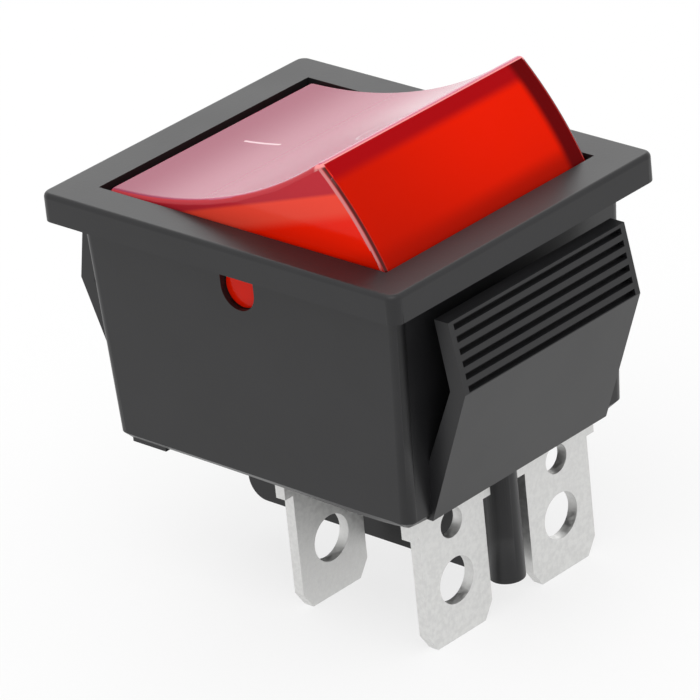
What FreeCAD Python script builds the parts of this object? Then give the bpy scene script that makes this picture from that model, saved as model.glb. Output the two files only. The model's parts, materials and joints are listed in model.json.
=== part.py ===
"""Illuminated double-pole rocker switch for a rectangular panel cut-out, in its ON position.

Millimetres. The origin is the centre of the bezel's underside, where it meets the panel.
X runs along the bezel, in the rocking direction, Y along the pivot and Z out of the panel.
"""
import FreeCAD
import Part
import Sketcher
import math
import os

# How far apart two heights of the model may be and still count as one.
SAME = 1e-4

# Driving dimensions: name, value, meaning.
SIZES = [
    ("bezel_length", 31.0, "bezel along X"),
    ("bezel_width", 25.6, "bezel along Y"),
    ("bezel_height", 2.0, "bezel above the panel"),
    ("bezel_corner", 0.8, "corner radius of the bezel in plan"),
    ("bezel_round", 0.35, "rounding of the bezel's upper edge"),
    ("lip_reach", 0.55, "how far the bezel's lip overhangs each end of the cavity"),
    ("opening_lip", 0.8, "thickness of the lip that overhangs the cavity's ends"),
    ("cavity_length", 26.2, "cavity under the bezel along X"),
    ("cavity_width", 20.3, "cavity and opening along Y"),
    ("end_wall", 0.8, "housing wall at both ends"),
    ("side_wall", 0.85, "housing wall at both sides"),
    ("body_corner", 0.8, "corner radius of the body in plan"),
    ("end_draft", 1.0, "how far each end leans in over the body's depth"),
    ("side_draft", 0.25, "how far each side leans in over the body's depth"),
    ("body_depth", 16.1, "body below the panel"),
    ("body_chamfer", 0.5, "chamfer round the body's lower edge"),
    ("floor_thickness", 1.2, "floor of the housing"),
    ("foot_length", 3.0, "foot under the end away from the post"),
    ("foot_drop", 0.4, "height of that foot"),
    ("foot_inset", 0.65, "foot in from the body's lower edges"),
    ("latch_width", 17.3, "snap latch along Y"),
    ("latch_thickness", 1.15, "thickness of the snap latch"),
    ("latch_top_gap", 1.3, "latch tip below the bezel"),
    ("latch_top_reach", 16.0, "outer face of the latch tip from the middle"),
    ("latch_knee_reach", 16.9, "outermost line of the latch from the middle"),
    ("latch_knee_depth", 6.15, "outermost line of the latch below the panel"),
    ("latch_root_depth", 13.4, "where the latch leaves the wall"),
    ("latch_root_step", 0.15, "latch root outside the wall's lower edge"),
    ("latch_swell", 0.1, "how much thicker the latch is at its knee"),
    ("latch_cheek", 0.45, "smooth cheek at both ends of the latch's grooves"),
    ("groove_count", 6, "grooves across the latch, which grip the panel"),
    ("groove_start", 0.22, "upper edge of the first groove below the latch tip"),
    ("groove_pitch", 0.83, "distance between two grooves"),
    ("groove_height", 0.42, "groove along Z"),
    ("groove_depth", 0.45, "groove into the latch"),
    ("pivot_depth", 2.0, "pivot axis below the panel"),
    ("trunnion_diameter", 2.8, "rocker trunnion"),
    ("trunnion_clearance", 0.05, "radial running clearance of the trunnion"),
    ("trunnion_recess", 0.5, "trunnion end inside the housing's side face"),
    ("tilt", 18.0, "rocker tilt each side of the middle, degrees"),
    ("lens_side_gap", 0.25, "gap between rocker and opening at each side"),
    ("lens_wall", 1.3, "rocker end walls"),
    ("lens_side_wall", 1.2, "rocker side walls"),
    ("lens_roof", 1.1, "rocker roof"),
    ("hollow_corner_in", 0.975, "upper corner of the rocker's hollow in from the ridge"),
    ("hollow_corner_drop", 1.75, "upper corner of the rocker's hollow below the ridge"),
    ("end_gap", 0.3, "gap between the cavity's end and the foot of the rocker's end face"),
    ("ridge_inset", 2.67, "rocker ridge in from that foot"),
    ("end_bow", 0.35, "outward bow of the rocker's end faces"),
    ("round_start", 0.5, "height over the skirt from which the rocker's edges are rounded"),
    ("ridge_height", 7.45, "rocker ridge above the pivot"),
    ("crown_height", 5.9, "middle of the dished top above the pivot"),
    ("skirt_drop", 0.3, "rocker skirt below the pivot axis"),
    ("boss_reach", 3.0, "half length of the cheek round the trunnion"),
    ("boss_radius", 3.05, "radius of the cheek round the trunnion"),
    ("lens_round", 0.4, "rounding of the rocker's edges"),
    ("pole_spacing", 10.48, "distance between the two poles"),
    ("tube_diameter", 5.0, "plunger tube outside"),
    ("tube_bore", 3.1, "plunger tube inside"),
    ("tube_drop", 4.0, "plunger tube below the pivot axis"),
    ("tube_top", 5.4, "plunger tube root in the roof above the pivot axis"),
    ("bore_top", 3.5, "closed end of the bore above the pivot axis"),
    ("plunger_clearance", 0.05, "radial running clearance of the plunger"),
    ("plunger_reach", 9.0, "plunger tip from the pivot"),
    ("plunger_top", 1.0, "plunger's upper end below the pivot axis"),
    ("spring_diameter", 2.7, "plunger spring outside"),
    ("spring_wire", 0.36, "plunger spring wire, of square section"),
    ("spring_play", 0.02, "gap at each end of the spring"),
    ("spring_turns", 3.5, "turns of the plunger spring"),
    ("lamp_diameter", 4.0, "neon lamp"),
    ("lamp_nose", 1.8, "tapered nose of the lamp"),
    ("lamp_tip", 0.35, "radius of the lamp's sealed tip"),
    ("lamp_chamfer", 0.5, "chamfer at the lamp's foot"),
    ("lamp_height", 2.6, "lamp axis above the pivot"),
    ("lamp_gap", 0.05, "play of the lamp in its saddles"),
    ("saddle_spacing", 7.0, "distance between the lamp saddles"),
    ("saddle_thickness", 1.0, "thickness of a lamp saddle"),
    ("saddle_width", 5.8, "lamp saddle along Y"),
    ("saddle_drop", 0.8, "lower edge of a saddle above the lamp's axis"),
    ("lead_wire", 0.4, "lamp lead wire"),
    ("lead_side", 2.37, "straight run of the lamp lead from the middle"),
    ("lead_bend", 0.4, "bend radius of the lamp lead"),
    ("lead_length", 0.7, "lead between the lamp or resistor and its first bend"),
    ("lead_room", 0.3, "room between that bend and the rocker's end wall"),
    ("lead_hole", 1.04, "hole in a plunger tube for the lead"),
    ("lead_touch", 0.02, "gap between the lead's end and the spring"),
    ("resistor_diameter", 1.9, "series resistor"),
    ("resistor_length", 3.2, "series resistor body"),
    ("resistor_wire", 1.05, "wire between the lamp's foot and the resistor"),
    ("blade_pivot_drop", 9.72, "blade pivot below the rocker pivot"),
    ("blade_throw", 10.0, "blade tilt each side of the middle, degrees"),
    ("blade_dish", 24.0, "slope of the blade's two wings, degrees"),
    ("blade_thickness", 0.5, "contact blade"),
    ("blade_width", 5.0, "contact blade along Y"),
    ("blade_waist", 3.5, "blade width between the horns of the common"),
    ("waist_length", 1.8, "length of the blade's waist"),
    ("wing_reach", 4.0, "where the contact wing bends level"),
    ("heel_reach", 4.4, "end of the short wing"),
    ("blade_overhang", 1.5, "contact wing beyond the middle of its contact"),
    ("contact_inset", 2.6, "contacts in from the load terminal, along the blade"),
    ("contact_diameter", 3.2, "contact rivet head"),
    ("contact_head", 0.75, "contact rivet head height"),
    ("contact_shank", 1.6, "contact rivet shank"),
    ("contact_chamfer", 0.3, "chamfer of the contact rivet's head"),
    ("shank_play", 0.12, "play of the shank in the blade's hole"),
    ("contact_gap", 0.04, "gap between closed contacts"),
    ("saddle_gap", 0.03, "gap between blade and saddle"),
    ("tab_width", 6.3, "terminal tab along Y"),
    ("tab_thickness", 0.8, "terminal tab along X"),
    ("tab_length", 10.4, "terminal tab below the body"),
    ("tab_chamfer_side", 0.8, "tip chamfer along Y"),
    ("tab_chamfer_up", 1.2, "tip chamfer along Z"),
    ("tab_hole", 3.3, "wire hole in the tab"),
    ("tab_hole_rise", 4.1, "wire hole above the tab's tip"),
    ("lance_hole", 2.1, "upper hole in the tab"),
    ("lance_hole_rise", 8.3, "upper hole above the tab's tip"),
    ("ear_width", 7.8, "terminal across the two ears staked out under the body"),
    ("ear_drop", 1.8, "lower end of those ears below the body"),
    ("load_inset", 2.1, "load terminals in from the cavity's end"),
    ("shoulder_width", 7.4, "terminal shoulder on the floor"),
    ("shoulder_height", 1.0, "height of that shoulder"),
    ("slot_gap", 0.04, "play of a terminal in its slot"),
    ("horn_height", 1.1, "horns of the common above its saddle"),
    ("horn_gap", 0.1, "gap between horn and blade waist"),
    ("shelf_reach", 4.3, "contact shelf of the load terminal"),
    ("shelf_bend", 0.72, "outer bend radius of that shelf"),
    ("barrier_bottom", 24.6, "barrier and post below the panel"),
    ("barrier_start", 11.5, "far end of the barrier from the middle"),
    ("barrier_corner", 1.5, "rounding of the barrier's lower corner there"),
    ("barrier_thickness", 1.2, "barrier between the poles"),
    ("post_diameter", 2.45, "round post at the barrier's end"),
    ("inner_barrier", 1.0, "wall between the poles inside the cavity"),
    ("inner_barrier_top", 10.0, "top of that wall below the panel"),
    ("inner_barrier_gap", 1.6, "ends of that wall in from the cavity's ends"),
]

# Places that several pieces share, as expressions of the driving dimensions.
POLE = "Sizes.pole_spacing / 2"
FLOOR = "-(Sizes.body_depth - Sizes.floor_thickness)"
UNDERSIDE = "-Sizes.body_depth"
TAB_TIP = f"({UNDERSIDE} - Sizes.tab_length)"
HALF_LENGTH = "(Sizes.cavity_length / 2 + Sizes.end_wall)"
HALF_WIDTH = "(Sizes.cavity_width / 2 + Sizes.side_wall)"
LENS_HALF = "(Sizes.cavity_width / 2 - Sizes.lens_side_gap)"
LOAD = "(Sizes.cavity_length / 2 - Sizes.load_inset)"
SKIRT = "(Sizes.cavity_length / 2 - Sizes.end_gap)"
RIDGE = f"({SKIRT} - Sizes.ridge_inset)"
# The rocker's hollow: half its length at the mouth and under the ridge, and that corner's height.
HOLLOW_MOUTH = f"({SKIRT} - Sizes.lens_wall)"
HOLLOW_TOP = f"({RIDGE} - Sizes.hollow_corner_in)"
HOLLOW_HEIGHT = "(Sizes.ridge_height - Sizes.hollow_corner_drop)"
# Inner face of the rocker's end wall at the lamp's height, and the resistor's end before it.
WALL_AT_LAMP = (f"({HOLLOW_MOUTH} - (Sizes.lamp_height + Sizes.skirt_drop)"
                f" * ({HOLLOW_MOUTH} - {HOLLOW_TOP}) / ({HOLLOW_HEIGHT} + Sizes.skirt_drop))")
RESISTOR_END = f"({WALL_AT_LAMP} - Sizes.lead_room - Sizes.lead_wire / 2 - Sizes.lead_length)"
RESISTOR_START = f"({RESISTOR_END} - Sizes.resistor_length)"
LAMP_HALF = f"({RESISTOR_START} - Sizes.resistor_wire)"
BLADE_PIVOT = "-(Sizes.pivot_depth + Sizes.blade_pivot_drop)"
DISH = "tan(Sizes.blade_dish * 1 deg)"
THROW = "tan(Sizes.blade_throw * 1 deg)"
# Half of the blade's thickness, measured upright on its sloping wings.
BLADE_HALF = "(Sizes.blade_thickness / 2 / cos(Sizes.blade_dish * 1 deg))"
CONTACT_REACH = f"({LOAD} - Sizes.contact_inset)"
CONTACT_RISE = f"(Sizes.wing_reach * {DISH} + ({CONTACT_REACH} - Sizes.wing_reach) * {THROW})"
# Height of the closed wing's middle above the blade pivot, and of the contact on it along X.
WING_LEVEL = (f"(({CONTACT_RISE}) * cos(Sizes.blade_throw * 1 deg)"
              f" - {CONTACT_REACH} * sin(Sizes.blade_throw * 1 deg))")
CONTACT_X = (f"({CONTACT_REACH} * cos(Sizes.blade_throw * 1 deg)"
             f" + ({CONTACT_RISE}) * sin(Sizes.blade_throw * 1 deg))")
SHELF_TOP = (f"({BLADE_PIVOT} + {WING_LEVEL} - {BLADE_HALF} - 2 * Sizes.contact_head"
             " - Sizes.contact_gap)")
SADDLE_TOP = f"({BLADE_PIVOT} - {BLADE_HALF} - Sizes.saddle_gap)"

doc = FreeCAD.newDocument("rocker_switch")
sheet = doc.addObject("Spreadsheet::Sheet", "Sizes")
for row, (name, value, meaning) in enumerate(SIZES, start=1):
    sheet.set(f"A{row}", meaning)
    sheet.set(f"B{row}", str(value))
    sheet.setAlias(f"B{row}", name)
doc.recompute()


def size(text):
    """The number that an expression of the driving dimensions gives."""
    result = sheet.evalExpression(text)
    return float(getattr(result, "Value", result))


def new_body(label):
    """A sub-part: a PartDesign body named after the piece."""
    body = doc.addObject("PartDesign::Body", label)
    body.Label = label
    return body


def sketch_on(body, plane, offset="0"):
    """A sketch on one of the body's origin planes, moved along the plane's normal."""
    sketch = body.newObject("Sketcher::SketchObject", body.Label + "_sketch")
    role = plane + "_Plane"
    support = [item for item in body.Origin.OriginFeatures if item.Role == role]
    sketch.AttachmentSupport = [(support[0], "")]
    sketch.MapMode = "FlatFace"
    sketch.setExpression("AttachmentOffset.Base.z", offset)
    return sketch


def locate(sketch, edge, end, x, y):
    """Holds one point of a sketch at two expressions."""
    for kind, text in (("DistanceX", x), ("DistanceY", y)):
        index = sketch.addConstraint(Sketcher.Constraint(kind, edge, end, size(text)))
        sketch.setExpression(f"Constraints[{index}]", text)


def arc_between(start, end, radius):
    """The short arc from start to end: centre on the left for a positive radius."""
    chord = end - start
    middle = (start + end) * 0.5
    left = FreeCAD.Vector(-chord.y, chord.x, 0).normalize()
    side = math.copysign(1, radius)
    rise = math.sqrt(max(radius**2 - (chord.Length / 2)**2, 0))
    centre = middle + left * rise * side
    crest = centre - left * abs(radius) * side
    return Part.Arc(start, crest, end)


def outline(sketch, points, closed=True):
    """Straight and round edges through located points: (x, y) or (x, y, radius of the next edge)."""
    places = [FreeCAD.Vector(size(point[0]), size(point[1]), 0) for point in points]
    count = len(points)
    first = sketch.GeometryCount
    edges = count if closed else count - 1
    for i in range(edges):
        start, end = places[i], places[(i + 1) % count]
        if len(points[i]) == 3:
            sketch.addGeometry(arc_between(start, end, size(points[i][2])), False)
        else:
            sketch.addGeometry(Part.LineSegment(start, end), False)
    # An arc that turns clockwise keeps its first end as its second point.
    starts = []
    ends = []
    for i in range(edges):
        clockwise = len(points[i]) == 3 and size(points[i][2]) < 0
        starts.append(2 if clockwise else 1)
        ends.append(1 if clockwise else 2)
    for i in range(edges):
        following = i + 1
        if following == edges and not closed:
            continue
        following %= edges
        sketch.addConstraint(Sketcher.Constraint(
            "Coincident", first + i, ends[i], first + following, starts[following]))
    for i in range(edges):
        locate(sketch, first + i, starts[i], points[i][0], points[i][1])
        if len(points[i]) == 3:
            radius = points[i][2]
            index = sketch.addConstraint(
                Sketcher.Constraint("Radius", first + i, abs(size(radius))))
            sketch.setExpression(f"Constraints[{index}]", f"abs({radius})")
    if not closed:
        locate(sketch, first + edges - 1, ends[-1], points[-1][0], points[-1][1])


def rectangle(sketch, x0, y0, x1, y1, radius=None):
    """A rectangle between two corners, with round corners if a radius is given."""
    if radius is None:
        outline(sketch, [(x0, y0), (x1, y0), (x1, y1), (x0, y1)])
        return
    outline(sketch, [
        (f"{x0} + {radius}", y0), (f"{x1} - {radius}", y0, radius),
        (x1, f"{y0} + {radius}"), (x1, f"{y1} - {radius}", radius),
        (f"{x1} - {radius}", y1), (f"{x0} + {radius}", y1, radius),
        (x0, f"{y1} - {radius}"), (x0, f"{y0} + {radius}", radius)])


def circle(sketch, x, y, diameter):
    """A circle with its centre and its diameter bound to expressions."""
    centre = FreeCAD.Vector(size(x), size(y), 0)
    edge = sketch.addGeometry(
        Part.Circle(centre, FreeCAD.Vector(0, 0, 1), size(diameter) / 2), False)
    locate(sketch, edge, 3, x, y)
    index = sketch.addConstraint(Sketcher.Constraint("Diameter", edge, size(diameter)))
    sketch.setExpression(f"Constraints[{index}]", diameter)


def extrude(kind, body, sketch, length, symmetric=False, backwards=False):
    """A Pad or Pocket. It has to change the body's volume."""
    before = body.Shape.Volume if body.Tip else 0.0
    feature = body.newObject("PartDesign::" + kind, body.Label + "_" + kind.lower())
    feature.Profile = sketch
    feature.setExpression("Length", length)
    feature.SideType = "Symmetric" if symmetric else "One side"
    feature.Reversed = backwards
    doc.recompute()
    change = body.Shape.Volume - before
    if (change > 0) != (kind == "Pad") or abs(change) < 1e-6:
        raise RuntimeError(f"{feature.Name} of {body.Label} changed nothing")
    return feature


def loft(kind, body, sketches):
    """An AdditiveLoft or SubtractiveLoft with straight sides between two sketches."""
    feature = body.newObject("PartDesign::" + kind, body.Label + "_loft")
    feature.Profile = sketches[0]
    feature.Sections = sketches[1:]
    feature.Ruled = True
    doc.recompute()
    return feature


def revolve(body, sketch, axis):
    """A full revolution of a sketch about one of its own axes."""
    feature = body.newObject("PartDesign::Revolution", body.Label + "_revolution")
    feature.Profile = sketch
    feature.ReferenceAxis = (sketch, [axis])
    feature.Angle = 360
    doc.recompute()
    return feature


def dress(kind, measure, body, amount, chosen):
    """A Fillet or Chamfer on the edges of the body's last feature that the test accepts."""
    base = body.Tip
    names = [f"Edge{i}" for i, edge in enumerate(base.Shape.Edges, start=1) if chosen(edge)]
    if not names:
        raise RuntimeError(f"no edge of {body.Label} to dress")
    feature = body.newObject("PartDesign::" + kind, body.Label + "_" + kind.lower())
    feature.Base = (base, names)
    feature.setExpression(measure, amount)
    doc.recompute()
    return feature


def round_edges(body, radius, chosen):
    """A fillet of the given radius on the chosen edges."""
    return dress("Fillet", "Radius", body, radius, chosen)


def bevel_edges(body, width, chosen):
    """A chamfer of the given width on the chosen edges."""
    return dress("Chamfer", "Size", body, width, chosen)


def middle(edge):
    """The point halfway along an edge."""
    return edge.valueAt((edge.FirstParameter + edge.LastParameter) / 2)


def level(edge, height):
    """True for an edge that lies at one height."""
    box = edge.BoundBox
    return abs(box.ZMin - height) < SAME and abs(box.ZMax - height) < SAME


def place(body, x="0", y="0", z="0", turn=None):
    """Puts a sub-part at expressions, turned about Y by an expression in degrees."""
    spot = FreeCAD.Vector(size(x), size(y), size(z))
    angle = size(turn) if turn else 0.0
    body.Placement = FreeCAD.Placement(spot, FreeCAD.Rotation(FreeCAD.Vector(0, 1, 0), angle))
    body.setExpression("Placement.Base.x", x)
    body.setExpression("Placement.Base.y", y)
    body.setExpression("Placement.Base.z", z)
    if turn:
        body.setExpression("Placement.Rotation.Angle", f"({turn}) * 1 deg")


def place_on_rocker(body, y="0"):
    """Puts a sub-part that is drawn about the pivot in its tilted place on the rocker."""
    place(body, y=y, z="-Sizes.pivot_depth", turn="-Sizes.tilt")


def add_latch(body, side):
    """A snap latch: a grooved finger that leaves the end wall low down and is free at its top."""
    top = "-Sizes.latch_top_gap"
    knee = "-Sizes.latch_knee_depth"
    inside = "Sizes.latch_thickness"
    root = f"({HALF_LENGTH} - Sizes.end_draft)"
    sketch = sketch_on(body, "XZ")
    outline(sketch, [
        (f"{side} * Sizes.latch_top_reach", top),
        (f"{side} * Sizes.latch_knee_reach", knee),
        (f"{side} * ({root} + Sizes.latch_root_step)", UNDERSIDE),
        (f"{side} * ({root} - Sizes.end_wall / 2)", UNDERSIDE),
        (f"{side} * ({root} - Sizes.end_wall / 2)", "-Sizes.latch_root_depth"),
        (f"{side} * (Sizes.latch_knee_reach - {inside} - Sizes.latch_swell)", knee),
        (f"{side} * (Sizes.latch_top_reach - {inside})", top)])
    extrude("Pad", body, sketch, "Sizes.latch_width", symmetric=True)

    # Grooves between two smooth cheeks. Their floors follow the lean of the latch's face.
    lean = ("(Sizes.latch_knee_reach - Sizes.latch_top_reach)"
            " / (Sizes.latch_knee_depth - Sizes.latch_top_gap)")
    sketch = sketch_on(body, "XZ")
    for i in range(int(size("Sizes.groove_count"))):
        drop = f"(Sizes.groove_start + {i} * Sizes.groove_pitch)"
        bed = f"(Sizes.latch_top_reach + {drop} * {lean} - Sizes.groove_depth)"
        rectangle(sketch, f"{side} * {bed}", f"{top} - {drop} - Sizes.groove_height",
                  f"{side} * (Sizes.latch_knee_reach + Sizes.groove_depth)", f"{top} - {drop}")
    extrude("Pocket", body, sketch, "Sizes.latch_width - 2 * Sizes.latch_cheek", symmetric=True)


def make_housing():
    """The moulded housing: bezel, body with its floor, latches, and the barrier under it."""
    body = new_body("housing")
    top = sketch_on(body, "XY")
    rectangle(top, f"-{HALF_LENGTH}", f"-{HALF_WIDTH}", HALF_LENGTH, HALF_WIDTH,
              "Sizes.body_corner")
    end = f"({HALF_LENGTH} - Sizes.end_draft)"
    side = f"({HALF_WIDTH} - Sizes.side_draft)"
    bottom = sketch_on(body, "XY", UNDERSIDE)
    rectangle(bottom, f"-{end}", f"-{side}", end, side, "Sizes.body_corner")
    loft("AdditiveLoft", body, [top, bottom])
    low = size(UNDERSIDE)
    bevel_edges(body, "Sizes.body_chamfer", lambda edge: level(edge, low))

    sketch = sketch_on(body, "XY")
    rectangle(sketch, "-Sizes.bezel_length / 2", "-Sizes.bezel_width / 2",
              "Sizes.bezel_length / 2", "Sizes.bezel_width / 2", "Sizes.bezel_corner")
    extrude("Pad", body, sketch, "Sizes.bezel_height")
    height = size("Sizes.bezel_height")
    round_edges(body, "Sizes.bezel_round", lambda edge: level(edge, height))

    add_latch(body, 1)
    add_latch(body, -1)

    sketch = sketch_on(body, "XY", UNDERSIDE)
    foot = f"(-{end} + Sizes.foot_inset)"
    rectangle(sketch, foot, f"-{side} + Sizes.foot_inset",
              f"{foot} + Sizes.foot_length", f"{side} - Sizes.foot_inset")
    extrude("Pad", body, sketch, "Sizes.foot_drop", backwards=True)

    # Cavity, open to the top through the bezel, where a lip overhangs its two ends.
    lip = "(Sizes.bezel_height - Sizes.opening_lip)"
    upper = sketch_on(body, "XY", lip)
    rectangle(upper, "-Sizes.cavity_length / 2", "-Sizes.cavity_width / 2",
              "Sizes.cavity_length / 2", "Sizes.cavity_width / 2")
    lower = sketch_on(body, "XY", FLOOR)
    rectangle(lower, "-(Sizes.cavity_length / 2 - Sizes.end_draft)",
              "-(Sizes.cavity_width / 2 - Sizes.side_draft)",
              "Sizes.cavity_length / 2 - Sizes.end_draft",
              "Sizes.cavity_width / 2 - Sizes.side_draft")
    loft("SubtractiveLoft", body, [upper, lower])
    sketch = sketch_on(body, "XY", lip)
    opening = "(Sizes.cavity_length / 2 - Sizes.lip_reach)"
    rectangle(sketch, f"-{opening}", "-Sizes.cavity_width / 2", opening, "Sizes.cavity_width / 2")
    extrude("Pocket", body, sketch, "Sizes.opening_lip", backwards=True)

    # Bearing windows in both side walls: round below, flat above.
    bearing = "(Sizes.trunnion_diameter / 2 + Sizes.trunnion_clearance)"
    axis = "-Sizes.pivot_depth"
    sketch = sketch_on(body, "XZ")
    outline(sketch, [
        (f"-{bearing}", axis, bearing), ("0", f"{axis} - {bearing}", bearing),
        (bearing, axis), (bearing, f"{axis} + {bearing}"), (f"-{bearing}", f"{axis} + {bearing}")])
    extrude("Pocket", body, sketch, "Sizes.bezel_width", symmetric=True)

    # Wall between the poles inside, and slots in the floor for the four terminals.
    sketch = sketch_on(body, "XY", FLOOR)
    barrier_end = "(Sizes.cavity_length / 2 - Sizes.inner_barrier_gap)"
    rectangle(sketch, f"-{barrier_end}", "-Sizes.inner_barrier / 2",
              barrier_end, "Sizes.inner_barrier / 2")
    extrude("Pad", body, sketch, f"-({FLOOR}) - Sizes.inner_barrier_top")
    sketch = sketch_on(body, "XY", FLOOR)
    half_slot = "(Sizes.tab_thickness / 2 + Sizes.slot_gap)"
    half_width = "(Sizes.tab_width / 2 + Sizes.slot_gap)"
    for reach in ("0", LOAD):
        for pole in (f"{POLE}", f"-{POLE}"):
            rectangle(sketch, f"{reach} - {half_slot}", f"{pole} - {half_width}",
                      f"{reach} + {half_slot}", f"{pole} + {half_width}")
    extrude("Pocket", body, sketch, "Sizes.floor_thickness")

    # Barrier and round post under the body, between the two rows of tabs.
    low_edge = "-Sizes.barrier_bottom"
    corner = "Sizes.barrier_corner"
    sketch = sketch_on(body, "XZ")
    outline(sketch, [
        ("-Sizes.barrier_start", UNDERSIDE), ("-Sizes.barrier_start", f"{low_edge} + {corner}",
                                              corner),
        (f"-Sizes.barrier_start + {corner}", low_edge), (LOAD, low_edge), (LOAD, UNDERSIDE)])
    extrude("Pad", body, sketch, "Sizes.barrier_thickness", symmetric=True)
    sketch = sketch_on(body, "XY", UNDERSIDE)
    circle(sketch, LOAD, "0", "Sizes.post_diameter")
    extrude("Pad", body, sketch, "Sizes.barrier_bottom - Sizes.body_depth", backwards=True)
    return body


def draw_tab(sketch, top_points):
    """The flat outline of a terminal, with the given points between its two upper sides."""
    half = "Sizes.tab_width / 2"
    shoulder = "Sizes.shoulder_width / 2"
    upper = f"{FLOOR} + Sizes.shoulder_height"
    chamfer = f"{TAB_TIP} + Sizes.tab_chamfer_up"
    inset = "Sizes.tab_width / 2 - Sizes.tab_chamfer_side"
    ear = "Sizes.ear_width / 2"
    ear_low = f"{UNDERSIDE} - Sizes.ear_drop"
    ear_high = f"{UNDERSIDE} - Sizes.slot_gap"
    right = [(inset, TAB_TIP), (half, chamfer), (half, ear_low), (ear, ear_low), (ear, ear_high),
             (half, ear_high), (half, FLOOR), (shoulder, FLOOR), (shoulder, upper), (half, upper)]
    left = [(f"-({x})", y) for x, y in reversed(right)]
    outline(sketch, right + top_points + left)
    circle(sketch, "0", f"{TAB_TIP} + Sizes.tab_hole_rise", "Sizes.tab_hole")
    circle(sketch, "0", f"{TAB_TIP} + Sizes.lance_hole_rise", "Sizes.lance_hole")


def make_terminal_common(label, pole):
    """A common terminal: a tab whose upper end is a saddle between two horns."""
    body = new_body(label)
    half = "Sizes.tab_width / 2"
    horn = f"{SADDLE_TOP} + Sizes.horn_height"
    gap = "Sizes.blade_waist / 2 + Sizes.horn_gap"
    sketch = sketch_on(body, "YZ")
    draw_tab(sketch, [(half, horn), (gap, horn), (gap, SADDLE_TOP), (f"-({gap})", SADDLE_TOP),
                      (f"-({gap})", horn), (f"-({half})", horn)])
    extrude("Pad", body, sketch, "Sizes.tab_thickness", symmetric=True)
    place(body, y=pole)
    return body


def make_terminal_load(label, pole):
    """A load terminal: a tab whose upper end is bent into a shelf for the fixed contact."""
    body = new_body(label)
    half = "Sizes.tab_width / 2"
    sketch = sketch_on(body, "YZ")
    draw_tab(sketch, [(half, SHELF_TOP), (f"-({half})", SHELF_TOP)])
    extrude("Pad", body, sketch, "Sizes.tab_thickness", symmetric=True)
    sketch = sketch_on(body, "XZ")
    rectangle(sketch, "-Sizes.shelf_reach", f"{SHELF_TOP} - Sizes.tab_thickness", "0", SHELF_TOP)
    extrude("Pad", body, sketch, "Sizes.tab_width", symmetric=True)
    top = size(SHELF_TOP)
    back = size("Sizes.tab_thickness / 2")
    round_edges(body, "Sizes.shelf_bend",
                lambda edge: level(edge, top) and middle(edge).x > back - SAME)
    sketch = sketch_on(body, "XY", SHELF_TOP)
    circle(sketch, f"{CONTACT_X} - {LOAD}", "0", "Sizes.contact_shank")
    extrude("Pocket", body, sketch, "Sizes.tab_thickness")
    place(body, x=LOAD, y=pole)
    return body


def draw_rivet(sketch, grip, up):
    """Half section of a contact rivet: chamfered head and a shank swaged flush with the sheet."""
    radius = "Sizes.contact_diameter / 2"
    shank = "Sizes.contact_shank / 2"
    outline(sketch, [
        ("0", f"{up} * Sizes.contact_head"),
        (f"{radius} - Sizes.contact_chamfer", f"{up} * Sizes.contact_head"),
        (radius, f"{up} * (Sizes.contact_head - Sizes.contact_chamfer)"), (radius, "0"),
        (shank, "0"), (shank, f"-{up} * {grip}"), ("0", f"-{up} * {grip}")])


def make_fixed_contact(label, pole):
    """The contact riveted into the shelf of a load terminal."""
    body = new_body(label)
    sketch = sketch_on(body, "XZ")
    draw_rivet(sketch, "Sizes.tab_thickness", 1)
    revolve(body, sketch, "V_Axis")
    place(body, x=CONTACT_X, y=pole, z=SHELF_TOP)
    return body


def make_blade(label, pole):
    """A see-saw contact blade: two sloping wings, one of them bent level for its contact."""
    body = new_body(label)
    sketch = sketch_on(body, "XZ")
    heel = f"Sizes.heel_reach * {DISH}"
    knee = f"Sizes.wing_reach * {DISH}"
    reach = f"({CONTACT_REACH} + Sizes.blade_overhang)"
    end = f"{knee} + ({reach} - Sizes.wing_reach) * {THROW}"
    line = [("-Sizes.heel_reach", heel), ("0", "0"), ("Sizes.wing_reach", knee), (reach, end)]
    lower = [(x, f"{z} - {BLADE_HALF}") for x, z in line]
    upper = [(x, f"{z} + {BLADE_HALF}") for x, z in reversed(line)]
    outline(sketch, lower + upper)
    extrude("Pad", body, sketch, "Sizes.blade_width", symmetric=True)

    # Notches on both sides make the waist between the horns, and a hole takes the contact.
    sketch = sketch_on(body, "XY")
    for side in (1, -1):
        rectangle(sketch, "-Sizes.waist_length / 2", f"{side} * Sizes.blade_waist / 2",
                  "Sizes.waist_length / 2", f"{side} * Sizes.blade_width")
    circle(sketch, CONTACT_REACH, "0", "Sizes.contact_shank + Sizes.shank_play")
    extrude("Pocket", body, sketch, "2 * Sizes.heel_reach", symmetric=True)
    place(body, y=pole, z=BLADE_PIVOT, turn="Sizes.blade_throw")
    return body


def make_moving_contact(label, pole):
    """The contact riveted under the wing of a blade, square to the wing."""
    body = new_body(label)
    sketch = sketch_on(body, "XZ")
    draw_rivet(sketch, f"2 * {BLADE_HALF}", -1)
    revolve(body, sketch, "V_Axis")
    place(body, x=CONTACT_X, y=pole, z=f"{BLADE_PIVOT} + {WING_LEVEL} - {BLADE_HALF}")
    return body


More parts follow.
